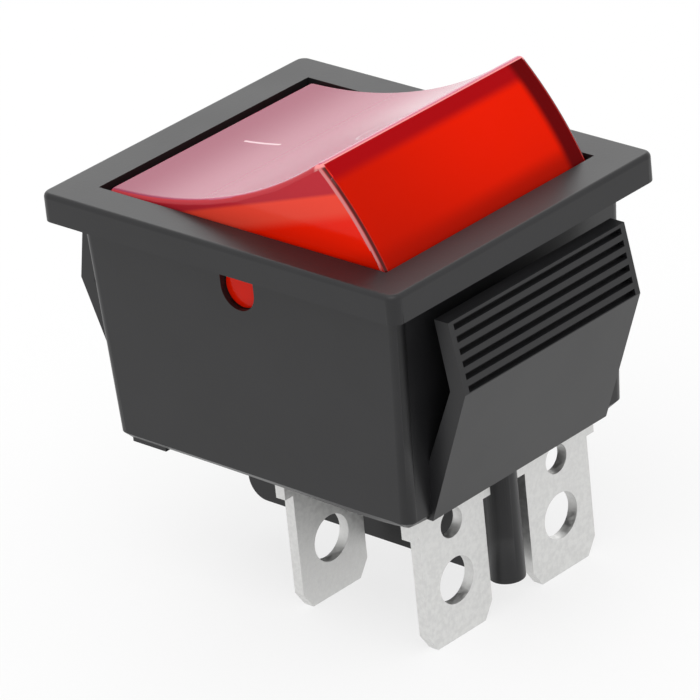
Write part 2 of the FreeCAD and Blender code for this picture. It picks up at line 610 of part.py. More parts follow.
def make_lens():
    """The translucent rocker: dished roof, slanting ends, trunnions, plunger tubes, saddles."""
    body = new_body("rocker_lens")
    sag = "(Sizes.ridge_height - Sizes.crown_height)"
    dish = f"(({RIDGE}^2 + {sag}^2) / (2 * {sag}))"
    slant = "(Sizes.ridge_inset^2 + (Sizes.ridge_height + Sizes.skirt_drop)^2)"
    bow = f"(({slant} / 4 + Sizes.end_bow^2) / (2 * Sizes.end_bow))"
    skirt = "-Sizes.skirt_drop"
    sketch = sketch_on(body, "XZ")
    outline(sketch, [
        ("-Sizes.boss_reach", skirt, "Sizes.boss_radius"), ("Sizes.boss_reach", skirt),
        (SKIRT, skirt, bow), (RIDGE, "Sizes.ridge_height", f"-{dish}"),
        (f"-{RIDGE}", "Sizes.ridge_height", bow), (f"-{SKIRT}", skirt)])
    extrude("Pad", body, sketch, f"2 * {LENS_HALF}", symmetric=True)
    low = size(f"{skirt} + Sizes.round_start")
    round_edges(body, "Sizes.lens_round", lambda edge: edge.BoundBox.ZMax > low)

    # Trunnions, then the hollow underneath, which also clears what lies between them.
    sketch = sketch_on(body, "XZ")
    circle(sketch, "0", "0", "Sizes.trunnion_diameter")
    extrude("Pad", body, sketch, f"2 * ({HALF_WIDTH} - Sizes.trunnion_recess)", symmetric=True)
    rise = f"({HOLLOW_HEIGHT} - Sizes.crown_height + Sizes.lens_roof)"
    inner_dish = f"(({HOLLOW_TOP}^2 + {rise}^2) / (2 * {rise}))"
    below = "-2 * Sizes.boss_radius"
    sketch = sketch_on(body, "XZ")
    outline(sketch, [
        (f"-{HOLLOW_MOUTH}", below), (HOLLOW_MOUTH, below), (HOLLOW_MOUTH, skirt),
        (HOLLOW_TOP, HOLLOW_HEIGHT, f"-{inner_dish}"), (f"-{HOLLOW_TOP}", HOLLOW_HEIGHT),
        (f"-{HOLLOW_MOUTH}", skirt)])
    extrude("Pocket", body, sketch, f"2 * ({LENS_HALF} - Sizes.lens_side_wall)", symmetric=True)

    # Tubes that guide the two plungers, and the ribs that hold the lamp under the roof.
    sketch = sketch_on(body, "XY", "-Sizes.tube_drop")
    for pole in (POLE, f"-{POLE}"):
        circle(sketch, "0", pole, "Sizes.tube_diameter")
    extrude("Pad", body, sketch, "Sizes.tube_drop + Sizes.tube_top")
    sketch = sketch_on(body, "XY", "-Sizes.tube_drop")
    for pole in (POLE, f"-{POLE}"):
        circle(sketch, "0", pole, "Sizes.tube_bore")
    extrude("Pocket", body, sketch, "Sizes.tube_drop + Sizes.bore_top", backwards=True)
    hold = "(Sizes.lamp_diameter / 2 + Sizes.lamp_gap)"
    grip = f"sqrt({hold}^2 - Sizes.saddle_drop^2)"
    low_edge = "Sizes.lamp_height + Sizes.saddle_drop"
    for side in (1, -1):
        offset = f"{side} * Sizes.saddle_spacing / 2 - Sizes.saddle_thickness / 2"
        sketch = sketch_on(body, "YZ", offset)
        outline(sketch, [
            ("-Sizes.saddle_width / 2", low_edge), (f"-{grip}", low_edge, f"-{hold}"),
            ("0", f"Sizes.lamp_height + {hold}", f"-{hold}"), (grip, low_edge),
            ("Sizes.saddle_width / 2", low_edge), ("Sizes.saddle_width / 2", "Sizes.tube_top"),
            ("-Sizes.saddle_width / 2", "Sizes.tube_top")])
        extrude("Pad", body, sketch, "Sizes.saddle_thickness")

    # A small hole through both tubes lets the lamp leads reach the springs.
    sketch = sketch_on(body, "XZ")
    circle(sketch, "0", "Sizes.lamp_height", "Sizes.lead_hole")
    extrude("Pocket", body, sketch, f"2 * {POLE}", symmetric=True)
    place_on_rocker(body)
    return body


def make_plunger(label, pole):
    """A metal plunger with a ball end, guided by its tube."""
    body = new_body(label)
    radius = "(Sizes.tube_bore / 2 - Sizes.plunger_clearance)"
    tip = "-Sizes.plunger_reach"
    shoulder = f"-Sizes.plunger_reach + {radius}"
    sketch = sketch_on(body, "XZ")
    outline(sketch, [("0", tip, radius), (radius, shoulder), (radius, "-Sizes.plunger_top"),
                     ("0", "-Sizes.plunger_top")])
    revolve(body, sketch, "V_Axis")
    place_on_rocker(body, y=pole)
    return body


def make_spring(label, pole):
    """The compression spring between a plunger and the closed end of its bore."""
    body = new_body(label)
    mean = "(Sizes.spring_diameter - Sizes.spring_wire) / 2"
    half = "Sizes.spring_wire / 2"
    start = "-Sizes.plunger_top + Sizes.spring_play"
    run = "Sizes.plunger_top + Sizes.bore_top - Sizes.spring_wire - 2 * Sizes.spring_play"
    sketch = sketch_on(body, "XZ")
    rectangle(sketch, f"{mean} - {half}", start, f"{mean} + {half}", f"{start} + Sizes.spring_wire")
    coil = body.newObject("PartDesign::AdditiveHelix", label + "_helix")
    coil.Profile = sketch
    coil.ReferenceAxis = (sketch, ["V_Axis"])
    coil.Mode = "height-turns-angle"
    coil.setExpression("Height", run)
    coil.setExpression("Turns", "Sizes.spring_turns")
    doc.recompute()
    place_on_rocker(body, y=pole)
    return body


def place_at_lamp(body):
    """Puts a sub-part that is drawn about the lamp's axis in its tilted place."""
    place(body, x="-Sizes.lamp_height * sin(Sizes.tilt * 1 deg)",
          z="-Sizes.pivot_depth + Sizes.lamp_height * cos(Sizes.tilt * 1 deg)",
          turn="-Sizes.tilt")


def make_lamp():
    """The neon lamp: a glass cylinder with a tapered nose and a sealed tip."""
    body = new_body("neon_lamp")
    radius = "Sizes.lamp_diameter / 2"
    foot = f"-{LAMP_HALF}"
    sketch = sketch_on(body, "XZ")
    outline(sketch, [
        (foot, "0"), (LAMP_HALF, "0"), (LAMP_HALF, "Sizes.lamp_tip"),
        (f"{LAMP_HALF} - Sizes.lamp_nose", radius), (f"{foot} + Sizes.lamp_chamfer", radius),
        (foot, f"{radius} - Sizes.lamp_chamfer")])
    revolve(body, sketch, "H_Axis")
    place_at_lamp(body)
    return body


def make_resistor():
    """The series resistor with the short wire that joins it to the lamp."""
    body = new_body("lamp_resistor")
    radius = "Sizes.resistor_diameter / 2"
    wire = "Sizes.lead_wire / 2"
    sketch = sketch_on(body, "XZ")
    outline(sketch, [
        (f"-{LAMP_HALF}", "0"), (f"-{LAMP_HALF}", wire), (f"-{RESISTOR_START}", wire),
        (f"-{RESISTOR_START}", radius), (f"-{RESISTOR_END}", radius), (f"-{RESISTOR_END}", "0")])
    revolve(body, sketch, "H_Axis")
    place_at_lamp(body)
    return body


def make_lead(label, side, start):
    """A thin lead, square in section, that turns back along the lamp and ends on a spring."""
    body = new_body(label)
    bend = "Sizes.lead_bend"
    along = 1 if side < 0 else -1
    turn = f"({start} + {along} * Sizes.lead_length)"
    run = f"({side} * Sizes.lead_side)"
    end = f"({side} * ({POLE} - Sizes.spring_diameter / 2 - Sizes.lead_touch))"
    path = sketch_on(body, "XY", "Sizes.lamp_height")
    outline(path, [
        (start, "0"), (f"{turn} - {along} * {bend}", "0", f"-{bend}"),
        (turn, f"{side} * {bend}"), (turn, f"{run} - {side} * {bend}", f"-{bend}"),
        (f"{turn} - {along} * {bend}", run), (f"{along} * {bend}", run, bend),
        ("0", f"{run} + {side} * {bend}"), ("0", end)], closed=False)
    section = sketch_on(body, "YZ", start)
    half = "Sizes.lead_wire / 2"
    rectangle(section, f"-{half}", f"Sizes.lamp_height - {half}", half,
              f"Sizes.lamp_height + {half}")
    pipe = body.newObject("PartDesign::AdditivePipe", label + "_pipe")
    pipe.Profile = section
    pipe.Spine = path
    doc.recompute()
    place_on_rocker(body)
    return body


parts = [make_housing(), make_lens(), make_lamp(), make_resistor()]
parts.append(make_lead("lamp_lead_front", -1, LAMP_HALF))
parts.append(make_lead("lamp_lead_rear", 1, f"-{RESISTOR_END}"))
for pole_name, pole_place in (("front", f"-{POLE}"), ("rear", POLE)):
    parts.append(make_terminal_common("terminal_common_" + pole_name, pole_place))
    parts.append(make_terminal_load("terminal_load_" + pole_name, pole_place))
    parts.append(make_fixed_contact("fixed_contact_" + pole_name, pole_place))
    parts.append(make_blade("contact_blade_" + pole_name, pole_place))
    parts.append(make_moving_contact("moving_contact_" + pole_name, pole_place))
    parts.append(make_plunger("plunger_" + pole_name, pole_place))
    parts.append(make_spring("plunger_spring_" + pole_name, pole_place))
doc.recompute()

for item in doc.Objects:
    if "Invalid" in item.State or "Error" in item.State:
        raise RuntimeError(f"{item.Label} did not compute: {item.State}")
for part in parts:
    if part.Shape.isNull() or not part.Shape.isValid() or len(part.Shape.Solids) != 1:
        raise RuntimeError(f"{part.Label} is not one valid solid")

os.makedirs("parts", exist_ok=True)
for part in parts:
    part.Shape.exportStep(f"parts/{part.Label}.step")
    box = part.Shape.BoundBox
    print(f"{part.Label}: {part.Shape.Volume:.1f} mm3,"
          f" x {box.XMin:.2f} to {box.XMax:.2f}, y {box.YMin:.2f} to {box.YMax:.2f},"
          f" z {box.ZMin:.2f} to {box.ZMax:.2f}")
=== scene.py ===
"""Panel rocker switch: finishes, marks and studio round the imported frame. Sizes are in metres."""
import json
import math

import bmesh
import bpy
from bpy.props import FloatProperty, FloatVectorProperty, IntProperty, PointerProperty
from mathutils import Matrix, Vector


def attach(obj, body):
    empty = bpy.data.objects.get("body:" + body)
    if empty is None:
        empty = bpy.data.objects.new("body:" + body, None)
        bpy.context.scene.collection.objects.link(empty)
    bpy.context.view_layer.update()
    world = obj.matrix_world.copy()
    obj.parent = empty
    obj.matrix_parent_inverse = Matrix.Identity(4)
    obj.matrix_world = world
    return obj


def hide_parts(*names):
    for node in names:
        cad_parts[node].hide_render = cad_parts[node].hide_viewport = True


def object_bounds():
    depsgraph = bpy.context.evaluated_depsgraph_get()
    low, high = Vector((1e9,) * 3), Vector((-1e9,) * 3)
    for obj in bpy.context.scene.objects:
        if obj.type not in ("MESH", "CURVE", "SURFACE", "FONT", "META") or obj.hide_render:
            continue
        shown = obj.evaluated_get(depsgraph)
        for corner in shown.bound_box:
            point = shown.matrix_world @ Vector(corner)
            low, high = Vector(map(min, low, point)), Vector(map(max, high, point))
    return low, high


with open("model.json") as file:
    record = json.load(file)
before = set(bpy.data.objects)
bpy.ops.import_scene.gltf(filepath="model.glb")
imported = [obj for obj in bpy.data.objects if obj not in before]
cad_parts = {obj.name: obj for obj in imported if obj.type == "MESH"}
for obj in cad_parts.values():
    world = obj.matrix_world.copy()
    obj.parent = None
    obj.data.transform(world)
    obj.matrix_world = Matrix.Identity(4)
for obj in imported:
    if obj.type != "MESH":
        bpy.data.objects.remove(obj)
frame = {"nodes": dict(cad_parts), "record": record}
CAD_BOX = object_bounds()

bl_info = {
    "name": "Panel Rocker Switch",
    "version": (1, 0, 0),
    "blender": (4, 5, 0),
    "location": "View3D > Sidebar > Switch",
    "description": "Dresses a snap-in rocker switch with its finishes, marks and studio",
    "category": "Object",
}

MM = 0.001
# Points closer than this are one point of a piece, and faces turned less than this are one face.
MERGE = 0.0005 * MM
FLAT_ANGLE = math.radians(0.5)
# Edges that turn more than this keep a sharp shading.
SMOOTH_ANGLE = math.radians(34)
POLES = ("front", "rear")
ROCKER_JOINT = next(joint for joint in frame["record"]["behaviour"]["joints"]
                    if joint["name"] == "rocker_tilt")
PIVOT = Vector(ROCKER_JOINT["pos_m"])
# The rocker rests at one end of its travel, half of it away from level.
TILT = math.radians(ROCKER_JOINT["range_deg"][1]) / 2
# Takes a point of the resting rocker into the rocker's own level frame about its pivot.
LEVEL = Matrix.Rotation(TILT, 4, "Y") @ Matrix.Translation(-PIVOT)

# Steps of detail in the grain and in the cloudiness, and patches of cloudiness in a metre.
GRAIN_DETAIL = 3.0
CLOUD_DETAIL = 4.0
CLOUD_SCALE = 180.0

# How much darker or lighter the rocker's colours get in their places: the near and foot tints are
# painted shade, the side glow tint is painted light and the edge tint is a painted highlight.
NEAR_SHADE_TINT = 0.72
RIDGE_TINT = 1.15
FAR_WALL_TINT = 0.4
END_FOOT_SHADE_TINT = 0.6
SIDE_PAINTED_LIGHT_TINT = 1.15
SIDE_FOOT_SHADE_TINT = 0.75
EDGE_HIGHLIGHT_TINT = 0.7
SEAM_TINT = 0.12

# Mottle of the metals: its size in grains, the noise that makes a patch, and the patches' tints.
MOTTLE_SIZE = 2.5
MOTTLE_RANGE = (0.3, 0.7)
MOTTLE_TINTS = (0.92, 1.07)


class RockerSettings(bpy.types.PropertyGroup):
    """Heights and widths on the rocker that its colours follow, about its pivot."""

    ceiling: FloatProperty(
        name="Ceiling", description="Underside of the roof as it shows through the sides",
        default=5.3 * MM, unit="LENGTH")
    shine: FloatProperty(
        name="Shine", description="Lower edge of the light band under the roof",
        default=3.9 * MM, unit="LENGTH")
    ridge: FloatProperty(
        name="Ridge", description="Top of the ridge above the pivot",
        default=7.45 * MM, unit="LENGTH")
    ridge_band: FloatProperty(
        name="Ridge Band", description="Dark band under the ridge on the end faces",
        default=1.1 * MM, unit="LENGTH")
    # Past the crest the rounded edges carry the painted highlight.
    crest: FloatProperty(
        name="Crest", description="Where the rounded edges turn light, along the rocker",
        default=9.6 * MM, unit="LENGTH")
    half_width: FloatProperty(
        name="Half Width", description="Side of the rocker from its middle",
        default=9.9 * MM, unit="LENGTH")
    wall: FloatProperty(
        name="Wall", description="Dark band on the end faces, in from the far side",
        default=1.75 * MM, unit="LENGTH")
    # Painted shade: the end and side faces darken downwards from the foot top to the foot end.
    foot_top: FloatProperty(
        name="Foot Top", description="Where the end and side faces start to darken downwards",
        default=1.6 * MM, unit="LENGTH")
    foot_end: FloatProperty(
        name="Foot End", description="Where the end and side faces are darkest",
        default=0.2 * MM, unit="LENGTH")
    soft: FloatProperty(
        name="Softness", description="Unit of the soft borders between the bands",
        default=0.15 * MM, unit="LENGTH")
    seam: FloatProperty(
        name="Seam", description="Dark line along the edges of the end faces, in from the side",
        default=0.21 * MM, unit="LENGTH")
    mark_reach: FloatProperty(
        name="Mark Reach", description="Middle of each mark from the pivot along the rocker",
        default=5.6 * MM, unit="LENGTH")
    mark_size: FloatProperty(
        name="Mark Size", description="Length of the line and diameter of the ring",
        default=3.1 * MM, unit="LENGTH")
    mark_width: FloatProperty(
        name="Mark Width", description="Width of the marks' line",
        default=0.21 * MM, unit="LENGTH")


class EdgeSettings(bpy.types.PropertyGroup):
    """Small roundings that the render shows."""

    moulded: FloatProperty(
        name="Moulded Edge", description="Rounding of the housing's edges",
        default=0.13 * MM, unit="LENGTH")
    sheared: FloatProperty(
        name="Sheared Edge", description="Rounding of the tabs' edges",
        default=0.07 * MM, unit="LENGTH")
    segments: IntProperty(
        name="Segments", description="Steps of each rounding", default=3, min=1, max=8)
    sharp: FloatProperty(
        name="Sharp Angle", description="Edges that turn more than this are rounded",
        default=math.radians(28), subtype="ANGLE")
    shortest: FloatProperty(
        name="Shortest Edge", description="Edges of the housing shorter than this stay sharp",
        default=0.7 * MM, unit="LENGTH")
    shortest_sheared: FloatProperty(
        name="Shortest Sheared Edge", description="Edges of a tab shorter than this stay sharp",
        default=0.15 * MM, unit="LENGTH")


class StudioSettings(bpy.types.PropertyGroup):
    """Camera and light, as the part is photographed."""

    azimuth: FloatProperty(
        name="Azimuth", description="Camera round the part, from the long side towards the end",
        default=math.radians(44.55), subtype="ANGLE")
    elevation: FloatProperty(
        name="Elevation", description="Camera above the panel plane",
        default=math.radians(25.77), subtype="ANGLE")
    roll: FloatProperty(
        name="Roll", description="Camera roll, which leans the uprights",
        default=math.radians(5.93), subtype="ANGLE")
    distance: FloatProperty(
        name="Distance", description="Camera from the part", default=0.400, unit="LENGTH")
    focal_length: FloatProperty(
        name="Focal Length", description="Lens of the camera in millimetres", default=314.0)
    aim: FloatVectorProperty(
        name="Aim", description="Point that the camera looks at", size=3,
        default=(0.0001, -0.0014, -0.0103), subtype="TRANSLATION", unit="LENGTH")
    surround: FloatProperty(
        name="Surround", description="Brightness of the white surroundings", default=0.85, min=0.0)
    key_power: FloatProperty(
        name="Key Light", description="Power of the soft light overhead in watts",
        default=0.30, min=0.0)
    back_power: FloatProperty(
        name="Back Light", description="Power of the soft light behind in watts",
        default=0.4, min=0.0)
    key_size: FloatProperty(
        name="Key Size", description="Side of the soft light overhead", default=0.25,
        unit="LENGTH")
    key_place: FloatVectorProperty(
        name="Key Place", description="Middle of the soft light overhead", size=3,
        default=(0.05, -0.12, 0.30), subtype="TRANSLATION", unit="LENGTH")
    back_size: FloatProperty(
        name="Back Size", description="Side of the soft light behind", default=0.40,
        unit="LENGTH")
    back_place: FloatVectorProperty(
        name="Back Place", description="Middle of the soft light behind", size=3,
        default=(-0.33, 0.33, 0.24), subtype="TRANSLATION", unit="LENGTH")
    floor_size: FloatProperty(
        name="Floor Size", description="Half of the floor's side", default=3.0, unit="LENGTH")
    floor_glow: FloatProperty(
        name="Floor Glow", description="Share of plain white in the floor as it is seen",
        default=0.75, min=0.0, max=1.0)
    floor_color: FloatVectorProperty(
        name="Floor", description="Colour of the floor", size=3, subtype="COLOR",
        default=(0.93, 0.93, 0.93), min=0.0, max=1.0)


class FinishSettings(bpy.types.PropertyGroup):
    """Colours and textures of the part's materials."""

    housing_color: FloatVectorProperty(
        name="Housing", description="Black moulded plastic", size=3, subtype="COLOR",
        default=(0.012, 0.012, 0.013), min=0.0, max=1.0)
    glow_color: FloatVectorProperty(
        name="Rocker Glow", description="Bright red of the rocker's thin walls", size=3,
        subtype="COLOR", default=(0.80, 0.011, 0.0), min=0.0, max=1.0)
    body_color: FloatVectorProperty(
        name="Rocker Depth", description="Dark red where the rocker is thick", size=3,
        subtype="COLOR", default=(0.34, 0.002, 0.004), min=0.0, max=1.0)
    top_color: FloatVectorProperty(
        name="Rocker Top", description="Crimson of the rocker's dished top", size=3,
        subtype="COLOR", default=(0.28, 0.003, 0.055), min=0.0, max=1.0)
    # Painted reflection: the paler colour that the top takes towards its raised half.
    raised_reflection_color: FloatVectorProperty(
        name="Rocker Raised Half", description="Paler crimson of the top's raised half", size=3,
        subtype="COLOR", default=(0.52, 0.035, 0.125), min=0.0, max=1.0)
    roof_color: FloatVectorProperty(
        name="Rocker Roof", description="Crimson of the roof through the side faces", size=3,
        subtype="COLOR", default=(0.52, 0.022, 0.035), min=0.0, max=1.0)
    shine_color: FloatVectorProperty(
        name="Rocker Shine", description="Light band under the roof on the side faces", size=3,
        subtype="COLOR", default=(0.90, 0.065, 0.035), min=0.0, max=1.0)
    # Painted highlight along the rocker's rounded edges.
    rim_color: FloatVectorProperty(
        name="Rocker Rim", description="Light red of the rocker's rounded edges", size=3,
        subtype="COLOR", default=(0.93, 0.30, 0.30), min=0.0, max=1.0)
    mark_color: FloatVectorProperty(
        name="Marks", description="Pale marks for on and off", size=3, subtype="COLOR",
        default=(0.82, 0.52, 0.58), min=0.0, max=1.0)
    tin_color: FloatVectorProperty(
        name="Tin", description="Plating of the tabs", size=3, subtype="COLOR",
        default=(0.74, 0.74, 0.73), min=0.0, max=1.0)
    brass_color: FloatVectorProperty(
        name="Brass", description="Blades and plungers", size=3, subtype="COLOR",
        default=(0.72, 0.52, 0.24), min=0.0, max=1.0)
    silver_color: FloatVectorProperty(
        name="Silver", description="Contact rivets", size=3, subtype="COLOR",
        default=(0.82, 0.81, 0.78), min=0.0, max=1.0)
    steel_color: FloatVectorProperty(
        name="Steel", description="Springs and lamp leads", size=3, subtype="COLOR",
        default=(0.58, 0.58, 0.59), min=0.0, max=1.0)
    lacquer_color: FloatVectorProperty(
        name="Lacquer", description="Body of the lamp's resistor", size=3, subtype="COLOR",
        default=(0.46, 0.32, 0.17), min=0.0, max=1.0)
    grain_size: FloatProperty(
        name="Grain", description="Size of the mould's fine grain", default=0.16 * MM,
        unit="LENGTH")
    grain_depth: FloatProperty(
        name="Grain Depth", description="Height of the mould's fine grain",
        default=0.004 * MM, unit="LENGTH")
    ripple_size: FloatProperty(
        name="Ripple", description="Size of the polished rocker's faint unevenness",
        default=1.6 * MM, unit="LENGTH")
    ripple_depth: FloatProperty(
        name="Ripple Depth", description="Height of the polished rocker's faint unevenness",
        default=0.0015 * MM, unit="LENGTH")


# Nodes and links.

def new_material(name):
    """An empty node material with a Principled BSDF and its output."""
    material = bpy.data.materials.new(name)
    material.use_nodes = True
    nodes = material.node_tree.nodes
    nodes.clear()
    shader = nodes.new("ShaderNodeBsdfPrincipled")
    output = nodes.new("ShaderNodeOutputMaterial")
    material.node_tree.links.new(shader.outputs["BSDF"], output.inputs["Surface"])
    return material, nodes, material.node_tree.links, shader


def new_group(name, inputs, outputs):
    """A shader group with float sockets: the group, its nodes, links, input and output."""
    group = bpy.data.node_groups.new(name, "ShaderNodeTree")
    for socket in inputs:
        group.interface.new_socket(socket, in_out="INPUT", socket_type="NodeSocketFloat")
    for socket in outputs:
        group.interface.new_socket(socket, in_out="OUTPUT", socket_type="NodeSocketFloat")
    return (group, group.nodes, group.links,
            group.nodes.new("NodeGroupInput"), group.nodes.new("NodeGroupOutput"))


def place_group(nodes, group, **values):
    """A shader group in a material, with its own values."""
    node = nodes.new("ShaderNodeGroup")
    node.node_tree = group
    for socket, value in values.items():
        node.inputs[socket].default_value = value
    return node


def calculate(nodes, links, operation, *terms):
    """A Math node on sockets or numbers."""
    node = nodes.new("ShaderNodeMath")
    node.operation = operation
    for index, term in enumerate(terms):
        if isinstance(term, (int, float)):
            node.inputs[index].default_value = term
        else:
            links.new(term, node.inputs[index])
    return node.outputs[0]


def step(nodes, links, source, low, high):
    """A smooth step from 0 to 1, or from 1 to 0 where low is above high."""
    node = nodes.new("ShaderNodeMapRange")
    node.interpolation_type = "SMOOTHSTEP"
    falling = low > high
    bounds = (high, low) if falling else (low, high)
    for name, bound in zip(("From Min", "From Max"), bounds):
        node.inputs[name].default_value = bound
    node.inputs["To Min"].default_value = 1.0 if falling else 0.0
    node.inputs["To Max"].default_value = 0.0 if falling else 1.0
    links.new(source, node.inputs["Value"])
    return node.outputs["Result"]


def blend(nodes, links, factor, low, high):
    """Mixes two colours, each a colour or a socket, by a 0 to 1 value."""
    node = nodes.new("ShaderNodeMix")
    node.data_type = "RGBA"
    links.new(factor, node.inputs["Factor"])
    for name, color in (("A", low), ("B", high)):
        if isinstance(color, bpy.types.NodeSocket):
            links.new(color, node.inputs[name])
        else:
            node.inputs[name].default_value = (*color, 1.0)
    return node.outputs["Result"]


def span(nodes, links, source, low, high):
    """Maps a 0 to 1 value onto two numbers."""
    node = nodes.new("ShaderNodeMapRange")
    node.inputs["To Min"].default_value = low
    node.inputs["To Max"].default_value = high
    links.new(source, node.inputs["Value"])
    return node.outputs["Result"]


def bump(nodes, links, height, distance, shader):
    """A Bump node between a height and the shader's normal."""
    node = nodes.new("ShaderNodeBump")
    node.inputs["Strength"].default_value = 1.0
    node.inputs["Distance"].default_value = distance
    links.new(height, node.inputs["Height"])
    links.new(node.outputs["Normal"], shader.inputs["Normal"])


def tint(color, factor):
    """A colour made lighter or darker."""
    return tuple(min(1.0, channel * factor) for channel in color)


# Shader groups.

def grain_group():
    """Fine mould grain as a height, and a slow cloudiness of tone."""
    name = "Mould Grain"
    if name in bpy.data.node_groups:
        return bpy.data.node_groups[name]
    group, nodes, links, inputs, outputs = new_group(name, ["Size"], ["Height", "Cloud"])
    place = nodes.new("ShaderNodeTexCoord")
    grain = nodes.new("ShaderNodeTexNoise")
    grain.inputs["Detail"].default_value = GRAIN_DETAIL
    links.new(place.outputs["Object"], grain.inputs["Vector"])
    links.new(calculate(nodes, links, "DIVIDE", 1.0, inputs.outputs["Size"]),
              grain.inputs["Scale"])
    cloud = nodes.new("ShaderNodeTexNoise")
    cloud.inputs["Scale"].default_value = CLOUD_SCALE
    cloud.inputs["Detail"].default_value = CLOUD_DETAIL
    links.new(place.outputs["Object"], cloud.inputs["Vector"])
    links.new(grain.outputs["Fac"], outputs.inputs["Height"])
    links.new(cloud.outputs["Fac"], outputs.inputs["Cloud"])
    return group


def rocker_group(rocker):
    """Masks of the rocker by place: its roof, ridge, edges, walls, foot and marks."""
    name = "Rocker Bands"
    if name in bpy.data.node_groups:
        return bpy.data.node_groups[name]
    group, nodes, links, _, outputs = new_group(
        name, [], ["Roof", "Shine", "Ridge", "Rise", "Crest", "Lip", "Near", "Edge", "Seam",
                   "Far Wall", "Foot", "Mark"])
    place = nodes.new("ShaderNodeTexCoord")
    level = nodes.new("ShaderNodeMapping")
    level.vector_type = "TEXTURE"
    level.inputs["Location"].default_value = PIVOT
    level.inputs["Rotation"].default_value = (0.0, -TILT, 0.0)
    links.new(place.outputs["Object"], level.inputs["Vector"])
    split = nodes.new("ShaderNodeSeparateXYZ")
    links.new(level.outputs["Vector"], split.inputs["Vector"])
    x, y, z = split.outputs

    # Bands by height, and by the distance from the two sides.
    soft = rocker.soft
    side = rocker.half_width
    width = calculate(nodes, links, "ABSOLUTE", y)
    bands = {
        "Roof": (z, rocker.ceiling - soft, rocker.ceiling + soft),
        "Shine": (z, rocker.shine - 4 * soft, rocker.shine + 2 * soft),
        "Ridge": (z, rocker.ridge - rocker.ridge_band - 4 * soft,
                  rocker.ridge - rocker.ridge_band + soft),
        # Rise: where the top's painted reflection and its coat grow, along the rocker.
        "Rise": (x, -rocker.crest, rocker.crest / 2),
        # Crest, Lip and Edge place the painted highlight on the rounded edges.
        "Crest": (x, rocker.crest - soft, rocker.crest + soft),
        "Lip": (z, rocker.ridge - 3 * soft, rocker.ridge - 2 * soft),
        # Near: painted shade that darkens the end faces towards the -Y side.
        "Near": (y, side / 2, -side),
        "Edge": (width, side - rocker.seam * 0.8, side - rocker.seam / 4),
        # Foot: painted shade that darkens the faces downwards.
        "Foot": (z, rocker.foot_top, rocker.foot_end),
        "Far Wall": (y, side - rocker.wall - 2 * soft, side - rocker.wall + 3 * soft)}
    for output, (source, low, high) in bands.items():
        links.new(step(nodes, links, source, low, high), outputs.inputs[output])
    off = calculate(nodes, links, "ABSOLUTE",
                    calculate(nodes, links, "SUBTRACT", width, side - rocker.seam))
    links.new(step(nodes, links, off, rocker.seam * 0.7, rocker.seam / 4), outputs.inputs["Seam"])

    # A line on the pressed half and a ring on the other.
    half = rocker.mark_size / 2
    along = calculate(nodes, links, "ABSOLUTE",
                      calculate(nodes, links, "ADD", x, rocker.mark_reach))
    past = calculate(nodes, links, "MAXIMUM",
                     calculate(nodes, links, "SUBTRACT", along, half), 0.0)
    across = calculate(nodes, links, "MULTIPLY", y, y)
    line = calculate(nodes, links, "SQRT", calculate(
        nodes, links, "ADD", across, calculate(nodes, links, "MULTIPLY", past, past)))
    off = calculate(nodes, links, "SUBTRACT", x, rocker.mark_reach)
    ring = calculate(nodes, links, "SQRT", calculate(
        nodes, links, "ADD", across, calculate(nodes, links, "MULTIPLY", off, off)))
    ring = calculate(nodes, links, "ABSOLUTE", calculate(nodes, links, "SUBTRACT", ring, half))
    nearest = calculate(nodes, links, "MINIMUM", line, ring)
    fade = rocker.mark_width / 4
    links.new(step(nodes, links, nearest, rocker.mark_width / 2 + fade,
                   rocker.mark_width / 2 - fade), outputs.inputs["Mark"])
    return group


# Materials.

def make_black_plastic(finish):
    """Black polyamide with a fine eroded grain."""
    material, nodes, links, shader = new_material("housing_black")
    grain = place_group(nodes, grain_group(), Size=finish.grain_size)
    color = tuple(finish.housing_color)
    links.new(blend(nodes, links, grain.outputs["Cloud"], tint(color, 0.7), tint(color, 1.5)),
              shader.inputs["Base Color"])
    links.new(span(nodes, links, grain.outputs["Cloud"], 0.30, 0.42), shader.inputs["Roughness"])
    shader.inputs["Specular IOR Level"].default_value = 0.38
    bump(nodes, links, grain.outputs["Height"], finish.grain_depth, shader)
    return material


def make_lens_material(name, finish, rocker, roughness, specular):
    """The rocker's polished polycarbonate, its bands and a faint unevenness of the surface."""
    material, nodes, links, shader = new_material(name)
    bands = place_group(nodes, rocker_group(rocker))
    ripple = place_group(nodes, grain_group(), Size=finish.ripple_size)
    shader.inputs["Roughness"].default_value = roughness
    shader.inputs["IOR"].default_value = 1.58
    shader.inputs["Specular IOR Level"].default_value = specular
    bump(nodes, links, ripple.outputs["Height"], finish.ripple_depth, shader)
    return material, nodes, links, shader, bands.outputs


def make_lens_top(finish, rocker):
    """Top of the rocker: crimson, glossier towards one end and paler there from a painted
    reflection, with the marks.
    """
    material, nodes, links, shader, bands = make_lens_material(
        "lens_red_top", finish, rocker, roughness=0.26, specular=0.29)
    links.new(bands["Rise"], shader.inputs["Coat Weight"])
    shader.inputs["Coat Roughness"].default_value = 0.24
    # Painted reflection: the crimson top turns paler towards the raised half.
    color = blend(nodes, links, bands["Rise"], tuple(finish.top_color),
                  tuple(finish.raised_reflection_color))
    color = blend(nodes, links, bands["Mark"], color, tuple(finish.mark_color))
    links.new(color, shader.inputs["Base Color"])
    return material


